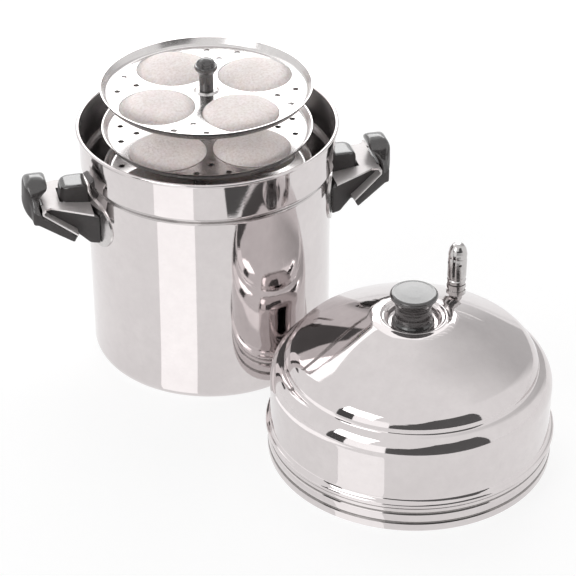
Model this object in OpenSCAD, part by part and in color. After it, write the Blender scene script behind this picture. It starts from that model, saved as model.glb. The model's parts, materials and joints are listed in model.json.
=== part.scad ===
// Idli steamer: a tall steamer pot, a lift-out rack of mould plates and a domed lid.
// Millimetres, +Z up. The origin is the middle of the pot's underside, and the two
// side handles lie along X. The lid stands on its own edge beside the pot.

/* [Pot] */
// Height of the pot over its rolled rim
pot_h = 240; // [228:1:252]
// Outer radius of the pot's body
body_r = 115; // [113:0.5:117]
// Outer radius of the wider band under the rim
band_r = 119.5; // [118.5:0.5:120.5]
// Height of the wider band
band_h = 41; // [34:1:44]
// Radius of the round corner between wall and bottom
corner_r = 14; // [10:1:24]
// Thickness of the pot's steel
pot_wall = 1; // [0.8:0.1:1.4]
// Radius of the rolled wire in the rim
rim_roll = 1.8; // [1.6:0.1:2]

/* [Side handles] */
// How far the handle's underside lies below the foot of the band
grip_drop = 54.5; // [50:0.5:64]
// How far the grip's outer edge stands from the pot's axis
grip_reach = 177; // [174:1:182]
// Width of the handle's floor plate next to the pot
floor_w = 87; // [80:1:92]
// Width of the handle's upturned lip
lip_w = 54; // [46:1:58]
// Half width of the steel bracket on the pot's wall
bracket_half = 54; // [50:1:56]

/* [Rack] */
// Number of mould plates
plate_count = 6; // [6:1:6]
// Distance from one plate to the next
plate_pitch = 41.5; // [38:0.5:42.5]
// Outer radius of a mould plate
plate_r = 98; // [97:0.5:99.5]
// Radius of a mould's mouth
mould_r = 35; // [33.5:0.5:35]
// Depth of a mould below its plate
mould_depth = 14; // [11:0.5:15]
// Distance from the rod to the middle of a mould
mould_ring_r = 54.6; // [54:0.2:55.2]
// Radius of a steam hole
steam_hole_r = 2.9; // [2:0.1:3]
// Radius of the central rod
rod_r = 5; // [4.6:0.1:5.4]

/* [Lid] */
// Radius of the lid's upright skirt
skirt_r = 126.8; // [126:0.2:128]
// Height of the dome's crown ring
crown_z = 140; // [136:1:146]
// Thickness of the lid's steel
lid_wall = 0.9; // [0.8:0.1:1.1]
// Distance from the lid's axis to the steam vent
vent_ring_r = 63; // [58:1:68]

/* [Hidden] */
$fn = 96;
eps = 0.01;
seat_gap = 0.1;
run_gap = 0.08;

// Pot
step_z = pot_h - band_h;
grip_z = step_z - grip_drop;
mouth_r = band_r - pot_wall;
roll_r = mouth_r + rim_roll;

// Handles: the bracket hugs the wall and the grip seats on the bracket
bracket_t = 1.6;
arm_t = 1.7;
root_half = 13;
lip_top_r = 20;
bracket_z = [grip_z - 4, grip_z + 40];
root_r = body_r + bracket_t + seat_gap;
tongue_z = grip_z + 11;
tongue_t = 2;
tongue_w = 26;
tongue_end = body_r + 30;
screw_x = body_r + 20;
screw_r = 2.5;

// Rack: heights run up from the plate floors
top_floor_z = pot_h + 31;
rim_up = 7.2;
sheet = 1.2;
boss_r = 12;
boss_up = 1.5;
spacer_r = 8;
hub_z = floor_z(1) - 21;
hub_t = 2;
foot_r = 80;
nut_t = 7;
stud_r = 4;
knob_z = top_floor_z + boss_up + seat_gap;
knob_h = 32;
// Turn of each plate on the rod, from the lowest to the top one
plate_turn = [12, -33, 20, -28, -8.6, -22.4];

// Lid, which stands at the pot's front right
lid_x = 137.9;
lid_y = -214.9;
well_z = crown_z - 8;
well_r = 24;
crest_r = 31;
vent_turn = 35.3;
vent_x = vent_ring_r * cos(vent_turn);
vent_y = vent_ring_r * sin(vent_turn);
tube_r = 3.2;
vent_foot_z = 120.5;

steel = "#d6d3d2";
satin = "#bdbab9";
bakelite = "#2e2a2b";
brass = "#b79a5b";
cooked_rice = "#e9e2dc";

// Height of the floor of plate n, counted from the bottom
function floor_z(n) = top_floor_z - plate_pitch * (plate_count - n);

// Points of an arc about c, from angle a to angle b
function arc(c, r, a, b, n = 8) =
    [for (i = [0 : n]) c + r * [cos(a + (b - a) * i / n), sin(a + (b - a) * i / n)]];

// Outline of a sheet: its outer line and the same line moved in by t
function unit(v) = v / norm(v);
function side(p, i) = let(a = p[max(i - 1, 0)], b = p[min(i + 1, len(p) - 1)], d = unit(b - a))
    [-d.y, d.x];
function sheet_outline(line, t) = concat(line,
    [for (i = [len(line) - 1 : -1 : 0]) line[i] + t * side(line, i)]);

module at_lid() translate([lid_x, lid_y, 0]) children();

module both_sides() for (s = [0, 180]) rotate(s) children();

module extrude_y(w) rotate([90, 0, 0]) linear_extrude(w, center = true) children();

// Outer line of the pot, from the middle of the bottom up to the rim
pot_line = concat([[0, 0]], arc([body_r - corner_r, corner_r], corner_r, -90, 0, 8),
    [[body_r, step_z - 4], [body_r + 1, step_z - 2.4], [band_r - 1, step_z - 0.8],
    [band_r, step_z + 0.8], [band_r, pot_h - rim_roll]]);

module pot_body() color(steel) union() {
    rotate_extrude() intersection() {
        polygon(sheet_outline(pot_line, pot_wall));
        square([band_r + 1, pot_h]);
    }
    rotate_extrude() translate([roll_r, pot_h - rim_roll]) circle(rim_roll, $fn = 24);
}

// A plate bent round the pot's wall, the tongue that the grip slides over, and the arm
module bracket() color(satin) difference() {
    union() {
        bracket_arm();
        intersection() {
            difference() {
                cylinder(h = pot_h, r = body_r + bracket_t);
                translate([0, 0, -1]) cylinder(h = pot_h + 2, r = body_r);
            }
            translate([body_r, 0, 0]) rotate([90, 0, 90])
                linear_extrude(60, center = true) bracket_outline();
        }
        translate([0, 0, tongue_z]) linear_extrude(tongue_t) difference() {
            translate([body_r - 1, -tongue_w / 2]) square([tongue_end - body_r + 1, tongue_w]);
            circle(body_r + bracket_t / 2);
        }
    }
    translate([screw_x, 0, tongue_z - 1]) cylinder(h = tongue_t + 2, r = screw_r + 0.05);
}

// The arm lies over the grip's wedge, leaves room for the root block, and is folded back
// at the lip's foot to line the ledge on either side of the wedge
module bracket_arm() {
    near = [body_r + 0.5, grip_z + 31.5];
    far = [grip_reach - 17.4, grip_z + 37.4];
    drop = [0, arm_t];
    difference() {
        intersection() {
            extrude_y(100) polygon([near, far, far - drop, near - drop]);
            linear_extrude(pot_h) arm_plan();
            cylinder_shell();
        }
        translate([body_r - 5, -root_half - 0.7, 0]) cube([33.6, 2 * root_half + 1.4, pot_h]);
    }
    difference() {
        intersection() {
            extrude_y(100) polygon([far - [1.2, 0.5], far, far + [2, -0.8], far + [2.4, -2.9],
                far + [2.1, -5.5], [grip_reach - 45.2, grip_z + 13.8],
                [grip_reach - 46, grip_z + 15.3], far + [0.4, -4.9], far + [0.5, -2.9],
                far - [0.9, 1.9]]);
            linear_extrude(pot_h) offset(delta = -0.8) lip_plan();
        }
        linear_extrude(pot_h) offset(delta = 0.15) wedge_plan();
    }
}

// Space outside the pot's wall
module cylinder_shell() difference() {
    cylinder(h = pot_h, r = grip_reach);
    translate([0, 0, -1]) cylinder(h = pot_h + 2, r = body_r + 0.3);
}

module arm_plan() polygon([[body_r - 15, -43], [grip_reach - 24, -24.6],
    [grip_reach - 15, -29], [grip_reach - 15, 29], [grip_reach - 24, 24.6],
    [body_r - 15, 43]]);

module bracket_outline() {
    low = bracket_z[0];
    high = bracket_z[1];
    r = (high - low) / 2;
    translate([-bracket_half + r, low]) square([2 * (bracket_half - r), high - low]);
    for (s = [-1, 1]) translate([s * (bracket_half - r), low + r]) circle(r);
}

// Side view of the grip's bent floor and lip, in X and Z
lip_side = concat(
    [[grip_reach - 41.5, grip_z + 6.5], [grip_reach - 11, grip_z + 21]],
    arc([grip_reach - 14, grip_z + 33.5], 14, -70, 12, 8),
    arc([grip_reach - 10.5, grip_z + 50.5], 8.5, 10, 92, 8),
    arc([grip_reach - 18.5, grip_z + 53.2], 5.4, 95, 215, 8),
    [[grip_reach - 19, grip_z + 47]],
    arc([grip_reach - 24, grip_z + 37], 10.5, 50, -15, 6),
    [[grip_reach - 14.5, grip_z + 31.5], [grip_reach - 45.2, grip_z + 13.5]]);

// Side view of the wedge between the pot and the lip
wedge_side = [[body_r - 6, grip_z], [body_r + 4.5, grip_z],
    [grip_reach - 44, grip_z + 11.5], [grip_reach - 13.5, grip_z + 29],
    [grip_reach - 13.5, grip_z + 36.5], [grip_reach - 17.2, grip_z + 36.5],
    [grip_reach - 17.2, grip_z + 35.5], [body_r - 6, grip_z + 28.8]];

// Side view of the root block over the wedge
root_side = concat([[body_r - 4, grip_z + 15], [body_r + 20, grip_z + 20]],
    arc([body_r + 21, grip_z + 29], 6.5, -60, 0, 5),
    arc([body_r + 20.5, grip_z + 42.5], 7, 0, 90, 8),
    [[body_r - 4, grip_z + 49.5]]);

module lip_plan() {
    slope = (floor_w - lip_w + 3) / 2 / 42;
    w = lip_w / 2;
    far = grip_reach;
    polygon(concat([[far - 48, -w - slope * 41], [far - 7, -w]],
        arc([far - 30, 0], 30, -38, 38, 8),
        [[far - 7, w], [far - 48, w + slope * 41]]));
}

module wedge_plan() polygon([[body_r - 15, -42.5], [grip_reach - 20.5, -21.2],
    [grip_reach - 12, -15], [grip_reach - 12, 15], [grip_reach - 20.5, 21.2],
    [body_r - 15, 42.5]]);

module root_plan() polygon(concat([[body_r - 4, -root_half], [body_r + 12, -root_half]],
    arc([body_r + 20, 7.5 - root_half], 7.5, -90, 0, 8),
    arc([body_r + 20, root_half - 7.5], 7.5, 0, 90, 8),
    [[body_r + 12, root_half], [body_r - 4, root_half]]));

// Front view of the lip, which narrows to a round top
module lip_front() {
    top = grip_z + 59.2;
    half = lip_w / 2;
    polygon(concat([[-60, 0], [60, 0], [60, grip_z + 32], [half + 1, grip_z + 34]],
        arc([0, top - lip_top_r], lip_top_r, 12, 168, 16),
        [[-half - 1, grip_z + 34], [-60, grip_z + 32]]));
}

module grip_solid() {
    intersection() {
        extrude_y(140) polygon(lip_side);
        linear_extrude(pot_h + 20) lip_plan();
        translate([body_r, 0, 0]) rotate([90, 0, 90]) linear_extrude(90) lip_front();
    }
    intersection() {
        extrude_y(140) polygon(wedge_side);
        linear_extrude(pot_h) wedge_plan();
    }
    intersection() {
        extrude_y(140) polygon(root_side);
        linear_extrude(pot_h) root_plan();
    }
}

// Moulded grip with a pocket for the bracket's tongue and a screw hole from below
module grip() color(bakelite) difference() {
    grip_solid();
    translate([0, 0, -1]) cylinder(h = pot_h + 2, r = root_r);
    translate([body_r - 5, -tongue_w / 2 - seat_gap, tongue_z - seat_gap])
        cube([tongue_end + seat_gap - body_r + 5, tongue_w + 2 * seat_gap,
            tongue_t + 2 * seat_gap]);
    translate([screw_x, 0, grip_z - 20]) cylinder(h = 38, r = screw_r + seat_gap);
    translate([screw_x, 0, grip_z - 20]) cylinder(h = 25, r = 5.2);
}

module handle_screw() translate([screw_x, 0, 0]) {
    head_z = grip_z + 5;
    translate([0, 0, head_z - 3]) difference() {
        cylinder(h = 3, r = 4.6);
        translate([-0.6, -6, -1]) cube([1.2, 12, 2]);
    }
    translate([0, 0, head_z - eps]) cylinder(h = 12, r = screw_r);
}

module bracket_left() rotate(180) bracket();
module bracket_right() bracket();
module handle_left() rotate(180) grip();
module handle_right() grip();
module handle_screws() color(satin) both_sides() handle_screw();

// Three bent strip legs welded to a hub
module rack_legs() color(steel) difference() {
    union() {
        translate([0, 0, hub_z]) cylinder(h = hub_t, r = 20);
        translate([0, 0, hub_z]) cylinder(h = floor_z(1) + boss_up - sheet - seat_gap - hub_z,
            r = spacer_r);
        for (a = [30, 150, 270]) rotate(a) extrude_y(14) leg_side();
    }
    translate([0, 0, hub_z - 1]) cylinder(h = 60, r = rod_r + 0.05);
}

module leg_side() {
    foot_z = pot_wall + seat_gap;
    polygon([[16, hub_z], [foot_r - 9, hub_z], [foot_r - 2, foot_z + 3],
        [foot_r - 1, foot_z], [foot_r + 9, foot_z], [foot_r + 9, foot_z + hub_t],
        [foot_r + 0.7, foot_z + hub_t], [foot_r - 7.2, hub_z + hub_t], [16, hub_z + hub_t]]);
}

module rack_rod() color(steel) union() {
    translate([0, 0, hub_z - nut_t - 3]) cylinder(h = 1, r1 = rod_r - 0.8, r2 = rod_r);
    translate([0, 0, hub_z - nut_t - 2])
        cylinder(h = knob_z - seat_gap - hub_z + nut_t + 2, r = rod_r);
    translate([0, 0, knob_z - 1]) cylinder(h = 18, r = stud_r);
}

module rod_nut() color(satin) translate([0, 0, hub_z - nut_t]) difference() {
    cylinder(h = nut_t, r = 9, $fn = 6);
    translate([0, 0, -1]) cylinder(h = nut_t + 2, r = rod_r + 0.05);
}

module spacer(n) {
    low = floor_z(n) + boss_up + seat_gap;
    high = floor_z(n + 1) + boss_up - sheet - seat_gap;
    color(steel) translate([0, 0, low]) difference() {
        cylinder(h = high - low, r = spacer_r);
        translate([0, 0, -1]) cylinder(h = high - low + 2, r = rod_r + 0.05);
    }
}

// Sphere that a mould is pressed to, from its mouth and its depth
ball_r = (mould_r * mould_r + mould_depth * mould_depth) / 2 / mould_depth;
ball_half = asin(mould_r / ball_r);

// Line of a plate's upper face, from the bore out to the edge, which leans outward
plate_line = concat([[rod_r + run_gap, boss_up], [boss_r - 2.5, boss_up], [boss_r, 0]],
    arc([plate_r - 7.5, 4], 4, -90, -25, 4), [[plate_r - 1.2, rim_up]]);

module plate(n) color(steel) translate([0, 0, floor_z(n)]) rotate(plate_turn[n - 1]) {
    difference() {
        union() {
            rotate_extrude() polygon(concat(plate_line,
                [[plate_r, rim_up]],
                arc([plate_r - 7.5, 4], 4 + sheet, -25, -90, 4),
                [[boss_r, -sheet], [boss_r - 2.5, boss_up - sheet],
                [rod_r + run_gap, boss_up - sheet]]));
            for (a = [45 : 90 : 315]) rotate(a) translate([mould_ring_r, 0, 0]) mould_shell();
        }
        for (a = [45 : 90 : 315]) rotate(a) translate([mould_ring_r, 0, 0]) mould_hollow();
        for (a = [0 : 90 : 270]) rotate(a) steam_holes();
    }
}

module mould_hollow() translate([0, 0, ball_r - mould_depth])
    rotate_extrude() polygon(concat([[0, mould_depth - ball_r + 1],  [0, -ball_r]],
        arc([0, 0], ball_r, -90, -90 + ball_half, 8),
        [[mould_r, mould_depth - ball_r + 1]]));

module mould_shell() translate([0, 0, ball_r - mould_depth])
    rotate_extrude() polygon(concat([[0, mould_depth - ball_r], [0, -ball_r - sheet]],
        arc([0, 0], ball_r + sheet, -90, -90 + asin((mould_r + 0.4) / (ball_r + sheet)), 8),
        [[mould_r + 0.4, mould_depth - ball_r]]));

// Three steam holes between two moulds
module steam_holes() for (p = [[66, 0], [82, 10.3], [82, -10.3]]) rotate(p[1])
    translate([p[0], 0, -5]) cylinder(h = 10, r = steam_hole_r, $fn = 24);

// The four cakes of one plate, each lying in its mould with a swollen top
module idlis(n) color(cooked_rice) translate([0, 0, floor_z(n)]) rotate(plate_turn[n - 1])
    for (a = [45 : 90 : 315]) rotate(a) translate([mould_ring_r, 0, 0]) idli();

module idli() {
    gap = 0.15;
    r = mould_r - 0.6;
    rotate_extrude() polygon(concat(
        arc([0, ball_r - mould_depth], ball_r - gap, -90, -90 + ball_half - 1, 8),
        arc([r - 3.5, 3.2], 3.5, 0, 70, 4),
        [[r * 0.6, 8.4], [r * 0.3, 9.6], [0, 10]]));
}

// Lifting knob: a long stem, a flared collar and a crown with finger notches
module rack_knob() color(bakelite) translate([0, 0, knob_z]) difference() {
    rotate_extrude() polygon(concat([[0, 0], [6.8, 0], [6.8, 14.5], [7.8, 17.5], [10.4, 21],
        [10.8, 22], [10.6, 24.4], [8.6, 24.6], [8.4, 27]], arc([0, 20.5], 10.8, 40, 90, 6)));
    translate([0, 0, -1]) cylinder(h = 21, r = 5.6);
    for (a = [0 : 60 : 300]) rotate(a) translate([9.4, 0, 25]) cylinder(h = 8, r = 1.6);
}

module rack_knob_bush() color(brass) translate([0, 0, knob_z]) difference() {
    cylinder(h = 18.9, r = 5.55);
    translate([0, 0, -1]) cylinder(h = 25, r = stud_r + run_gap);
}

// Outer line of the lid: hem, two grooves, bead, skirt, round shoulder, ledge, low wall,
// bevel, cone and well
lid_line = concat([[128.2, 0], [129.2, 1.2], [129.4, 4], [129.2, 7.6], [128, 9], [128.9, 10.4],
    [129.2, 14], [128.8, 17.6], [127.7, 19], [128.5, 20.4], [128.4, 23.4], [127.8, 24.6]],
    arc([128, 27.8], 3, -70, 70, 6), [[skirt_r, 32.6], [skirt_r, 74]],
    arc([skirt_r - 20, 74], 20, 8, 52, 5),
    [[116.4, 91.3], [114.2, 92], [113.2, 93.2], [112.9, 95], [112.6, 98.6], [111.8, 100.6],
    [107.9, 105.2], [104, 107.4]],
    [for (r = [92 : -15 : 32]) [r, cone_z(r)]],
    arc([crest_r - 1, crown_z - 1.6], 1.6, 62, 120, 2),
    [[well_r + 4, crown_z - 1.6], [well_r + 0.8, crown_z - 2.2], [well_r - 1, well_z + 1],
    [well_r - 2.4, well_z], [0, well_z]]);

// The cone swells a little between its foot and its crown
function cone_z(r) = let(t = (108 - r) / (108 - crest_r)) 105.4 + (crown_z - 105.4) * t
    + 2.4 * sin(180 * t);

module lid_shell() color(steel) at_lid() difference() {
    rotate_extrude() intersection() {
        polygon(sheet_outline(lid_line, lid_wall));
        square([skirt_r + 8, crown_z + 5]);
    }
    translate([0, 0, well_z - 5]) cylinder(h = 10, r = screw_r + 0.1);
    translate([vent_x, vent_y, 90]) cylinder(h = 60, r = tube_r + 0.05);
}

// Ring welded inside the skirt: its spigot drops into the pot and its ledge sits on the rim
module lid_seat_ring() color(satin) at_lid() {
    skin_r = skirt_r - lid_wall;
    inner_r = mouth_r - 1;
    rotate_extrude() polygon([[inner_r - lid_wall, 10], [inner_r, 10], [inner_r, 20],
        [skin_r - 1, 20], [skin_r - 1, 34], [skin_r, 34], [skin_r, 44], [skin_r - lid_wall, 44],
        [skin_r - 1 - lid_wall, 35], [skin_r - 1 - lid_wall, 20 + lid_wall],
        [inner_r - lid_wall, 20 + lid_wall]]);
}

module lid_knob() color(bakelite) at_lid() translate([0, 0, well_z]) difference() {
    rotate_extrude() polygon(concat([[0, 0], [19.2, 0], [19.4, 2.4], [17.4, 5], [16.3, 9],
        [16.2, 17], [17.2, 22], [19.6, 26]], arc([18.8, 29], 2.6, -50, 80, 5),
        [[18.4, 32.2], [0, 32.6]]));
    translate([0, 0, -1]) cylinder(h = 17, r = screw_r + 0.05);
}

module lid_knob_washer() color(satin) at_lid() translate([0, 0, well_z - lid_wall - 1])
    difference() {
        cylinder(h = 1, r = 9);
        translate([0, 0, -1]) cylinder(h = 3, r = screw_r + 0.1);
    }

module lid_knob_screw() color(satin) at_lid() translate([0, 0, well_z - lid_wall - 1]) {
    difference() {
        translate([0, 0, -3]) cylinder(h = 3, r = 4.8);
        translate([-0.6, -6, -4]) cube([1.2, 12, 2.2]);
    }
    translate([0, 0, -eps]) cylinder(h = 16, r = screw_r);
}

module at_vent() at_lid() translate([vent_x, vent_y, 0]) children();

module vent_tube() color(satin) at_vent() difference() {
    union() {
        translate([0, 0, vent_foot_z]) cylinder(h = 156 - vent_foot_z, r = tube_r);
        translate([0, 0, vent_foot_z]) cylinder(h = 3, r = 7, $fn = 6);
    }
    translate([0, 0, 100]) cylinder(h = 60, r = 1.5);
}

// Solid that fills the lid up to its outer face, for parts that sit on the cone
module lid_filled() at_lid() rotate_extrude() polygon(concat([[0, 0]], lid_line));

module vent_nut() color(satin) difference() {
    at_vent() {
        translate([0, 0, 112]) cylinder(h = 20, r = 6);
        translate([0, 0, 132]) cylinder(h = 1.6, r1 = 6, r2 = 8.2);
        for (z = [133.6, 139.6]) translate([0, 0, z]) cylinder(h = 4, r = 9, $fn = 20);
        translate([0, 0, 133.6]) cylinder(h = 10, r = 8.3);
    }
    lid_filled();
    at_vent() translate([0, 0, 100]) cylinder(h = 60, r = tube_r + 0.04);
}

// Dead weight that rests on the nut, round the tube
module vent_weight() color(satin) at_vent() translate([0, 0, 143.7]) difference() {
    rotate_extrude() polygon([[0, 0], [6.6, 0], [7.6, 1], [7.6, 4], [7, 4.8], [7, 7], [7.6, 7.8],
        [7.6, 25], [7, 27], [6.2, 27.6], [6.2, 31], [5.2, 36], [3.6, 39.4], [1.6, 41], [0, 41]]);
    translate([0, 0, -1]) cylinder(h = 14.5, r = tube_r + run_gap);
    for (a = [0, 90]) rotate(a) translate([0, 0, 22]) rotate([90, 0, 0])
        cylinder(h = 20, r = 1.2, center = true);
}

pot_body();
bracket_left();
bracket_right();
handle_left();
handle_right();
handle_screws();
rack_legs();
rack_rod();
rod_nut();
spacer(1);  // spacer_1
spacer(2);  // spacer_2
spacer(3);  // spacer_3
spacer(4);  // spacer_4
spacer(5);  // spacer_5
plate(1);  // plate_1
plate(2);  // plate_2
plate(3);  // plate_3
plate(4);  // plate_4
plate(5);  // plate_5
plate(6);  // plate_6
idlis(1);  // idlis_1
idlis(2);  // idlis_2
idlis(3);  // idlis_3
idlis(4);  // idlis_4
idlis(5);  // idlis_5
idlis(6);  // idlis_6
rack_knob();
rack_knob_bush();
lid_shell();
lid_seat_ring();
lid_knob();
lid_knob_screw();
lid_knob_washer();
vent_tube();
vent_nut();
vent_weight();
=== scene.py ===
"""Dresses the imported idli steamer: pot, lift-out rack of mould plates, and lid.

Sizes are millimetres in the classes below and become metres where a mesh is made.
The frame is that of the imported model: +Z up, the pot's underside centred on the origin,
the side handles along X, and the lid standing beside the pot. HEADING is how many degrees
the camera's view is turned from +Y towards +X, and MIDDLE is the object's middle in metres.
"""

from __future__ import annotations

import json
import logging
import math
from dataclasses import dataclass, field
from enum import Enum

import bmesh
import bpy
import numpy as np
from bpy.types import Material, Mesh, Node, NodeTree
from bpy.types import NodeSocket as Socket
from bpy.types import Object as Piece
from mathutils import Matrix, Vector

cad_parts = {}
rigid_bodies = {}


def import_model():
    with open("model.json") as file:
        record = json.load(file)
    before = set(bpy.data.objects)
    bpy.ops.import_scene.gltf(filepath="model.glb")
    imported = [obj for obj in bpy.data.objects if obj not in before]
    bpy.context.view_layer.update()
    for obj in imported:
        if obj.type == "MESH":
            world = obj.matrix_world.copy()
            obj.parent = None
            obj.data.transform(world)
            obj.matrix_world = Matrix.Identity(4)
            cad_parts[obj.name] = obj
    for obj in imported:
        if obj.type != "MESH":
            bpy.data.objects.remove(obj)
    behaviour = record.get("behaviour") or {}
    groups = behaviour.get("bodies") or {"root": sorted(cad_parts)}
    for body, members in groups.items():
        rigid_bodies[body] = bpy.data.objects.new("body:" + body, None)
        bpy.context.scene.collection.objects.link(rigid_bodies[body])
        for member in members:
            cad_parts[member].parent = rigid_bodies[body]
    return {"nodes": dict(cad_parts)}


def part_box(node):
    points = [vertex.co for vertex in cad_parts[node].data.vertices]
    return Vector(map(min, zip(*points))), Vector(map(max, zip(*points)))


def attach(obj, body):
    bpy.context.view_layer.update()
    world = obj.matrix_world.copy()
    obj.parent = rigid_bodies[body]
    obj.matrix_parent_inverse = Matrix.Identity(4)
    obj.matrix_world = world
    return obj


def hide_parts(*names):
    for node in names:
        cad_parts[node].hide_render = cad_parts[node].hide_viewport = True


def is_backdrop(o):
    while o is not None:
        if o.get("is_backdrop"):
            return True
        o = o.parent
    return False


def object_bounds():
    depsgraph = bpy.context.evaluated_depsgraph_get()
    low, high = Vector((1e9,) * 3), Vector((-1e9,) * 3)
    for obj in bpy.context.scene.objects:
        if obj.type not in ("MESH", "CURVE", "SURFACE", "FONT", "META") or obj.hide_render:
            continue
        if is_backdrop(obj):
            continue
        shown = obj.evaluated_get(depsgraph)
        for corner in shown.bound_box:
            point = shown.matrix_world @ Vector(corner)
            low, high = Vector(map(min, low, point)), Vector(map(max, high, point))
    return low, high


LOG = logging.getLogger("steamer")
MM = 0.001
HEADING = 13.9
MIDDLE = Vector((0.04, -0.09, 0.1))

Array = np.ndarray
Pair = tuple[float, float]
Triple = tuple[float, float, float]


class Slot(Enum):
    """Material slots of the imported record."""

    STEEL = "polished_steel"
    SATIN = "satin_steel"
    BAKELITE = "black_bakelite"
    BRASS = "brass_insert"
    WEIGHT = "weight_steel"
    RICE = "steamed_rice"


# Shader building blocks


class Tree:
    """Shorthand for adding and joining shader nodes."""

    def __init__(self, tree: NodeTree) -> None:
        """Keeps the node tree that is being filled."""
        self.tree = tree

    def add(self, kind: str, **values: object) -> Node:
        """Adds a node.

        Args:
            kind: Node type without the ShaderNode prefix.
            values: Node properties, and input values written with an in_ prefix.

        Returns:
            The new node.
        """
        prefix = "" if kind.startswith("Node") else "ShaderNode"
        node = self.tree.nodes.new(prefix + kind)
        for name, value in values.items():
            if name.startswith("in_"):
                node.inputs[name[3:].replace("_", " ")].default_value = value
            else:
                setattr(node, name, value)
        return node

    def join(self, out: Socket, into: Socket) -> None:
        """Links one socket to another."""
        self.tree.links.new(out, into)

    def group(self, name: str, place: Socket, **values: object) -> Node:
        """Adds a node group with the given inputs and feeds the place to it."""
        node = self.add("Group", node_tree=bpy.data.node_groups[name], **values)
        self.join(place, node.inputs["Place"])
        return node

    def math(self, operation: str, first: object, second: object = 0.0) -> Socket:
        """Adds a Math node on sockets or numbers and returns its result."""
        node = self.tree.nodes.new("ShaderNodeMath")
        node.operation = operation
        for socket, value in zip(node.inputs, (first, second)):
            if isinstance(value, Socket):
                self.join(value, socket)
            else:
                socket.default_value = value
        return node.outputs[0]

    def blend_colour(self, mask: Socket, low: Triple, high: Triple) -> Socket:
        """Mixes two colours by a mask and returns the colour."""
        node = self.tree.nodes.new("ShaderNodeMix")
        node.data_type = "RGBA"
        node.inputs[6].default_value = (*low, 1)
        node.inputs[7].default_value = (*high, 1)
        self.join(mask, node.inputs[0])
        return node.outputs[2]

    def mix(self, mask: Socket, low: Socket, high: Socket) -> Socket:
        """Mixes two shaders by a mask and returns the result."""
        node = self.add("MixShader")
        for socket, value in zip(node.inputs, (mask, low, high)):
            self.join(value, socket)
        return node.outputs[0]

    def stretch(self, value: Socket, span: Pair, onto: Pair) -> Socket:
        """Maps a value from one span onto another, clamped, and returns it."""
        node = self.add("MapRange")
        node.inputs[1].default_value, node.inputs[2].default_value = span
        node.inputs[3].default_value, node.inputs[4].default_value = onto
        self.join(value, node.inputs[0])
        return node.outputs[0]


def cleared(owner: Material | bpy.types.World) -> Tree:
    """Returns the emptied node tree of a material or a world."""
    owner.use_nodes = True
    owner.node_tree.nodes.clear()
    return Tree(owner.node_tree)


def linked(name: str, data: bpy.types.ID) -> Piece:
    """Adds an object with the given data to the scene and returns it."""
    thing = bpy.data.objects.new(name, data)
    bpy.context.scene.collection.objects.link(thing)
    return thing


def new_group(name: str, inputs: dict[str, float | None], outputs: tuple[str, ...]) -> Tree:
    """Starts a shader node group.

    Args:
        name: The group's name.
        inputs: Input names with their start value, or None for a vector.
        outputs: Names of the value outputs.

    Returns:
        The tree, which holds its group input and output nodes as entry and leave.
    """
    group = bpy.data.node_groups.new(name, "ShaderNodeTree")
    for label, value in inputs.items():
        kind = "NodeSocketVector" if value is None else "NodeSocketFloat"
        socket = group.interface.new_socket(label, in_out="INPUT", socket_type=kind)
        if value is not None:
            socket.default_value = value
    for label in outputs:
        group.interface.new_socket(label, in_out="OUTPUT", socket_type="NodeSocketFloat")
    tree = Tree(group)
    tree.entry = tree.add("NodeGroupInput")
    tree.leave = tree.add("NodeGroupOutput")
    return tree


def build_turned_lines() -> NodeTree:
    """Makes the group for fine polishing lines that run round an axis.

    The height is a noise of the distance from the axis and of the height along it, so
    that every line is a ring.
    """
    tree = new_group("turned_lines", {"Place": None, "Density": 900.0}, ("Height",))
    split = tree.add("SeparateXYZ")
    tree.join(tree.entry.outputs["Place"], split.inputs[0])
    squares = [tree.math("MULTIPLY", split.outputs[i], split.outputs[i]) for i in (0, 1)]
    radius = tree.math("SQRT", tree.math("ADD", *squares))
    ring = tree.add("CombineXYZ")
    density = tree.entry.outputs["Density"]
    tree.join(tree.math("MULTIPLY", radius, density), ring.inputs[0])
    tree.join(tree.math("MULTIPLY", split.outputs[2], density), ring.inputs[2])
    noise = tree.add("TexNoise", in_Scale=1.0, in_Detail=1.0)
    tree.join(ring.outputs[0], noise.inputs["Vector"])
    tree.join(noise.outputs["Fac"], tree.leave.inputs["Height"])
    return tree.tree


def build_handled_marks() -> NodeTree:
    """Makes the group for faint wipe marks: a mask from broad noise and fine noise."""
    tree = new_group("handled_marks", {"Place": None, "Scale": 14.0}, ("Mask",))
    broad = tree.add("TexNoise", in_Detail=3.0, in_Roughness=0.55)
    fine = tree.add("TexNoise", in_Detail=5.0, in_Roughness=0.7)
    for noise, factor in ((broad, 1.0), (fine, 6.0)):
        tree.join(tree.entry.outputs["Place"], noise.inputs["Vector"])
        scale = tree.math("MULTIPLY", tree.entry.outputs["Scale"], factor)
        tree.join(scale, noise.inputs["Scale"])
    both = tree.math("MULTIPLY", broad.outputs["Fac"], fine.outputs["Fac"])
    tree.join(tree.stretch(both, (0.12, 0.42), (0, 1)), tree.leave.inputs["Mask"])
    return tree.tree


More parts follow.
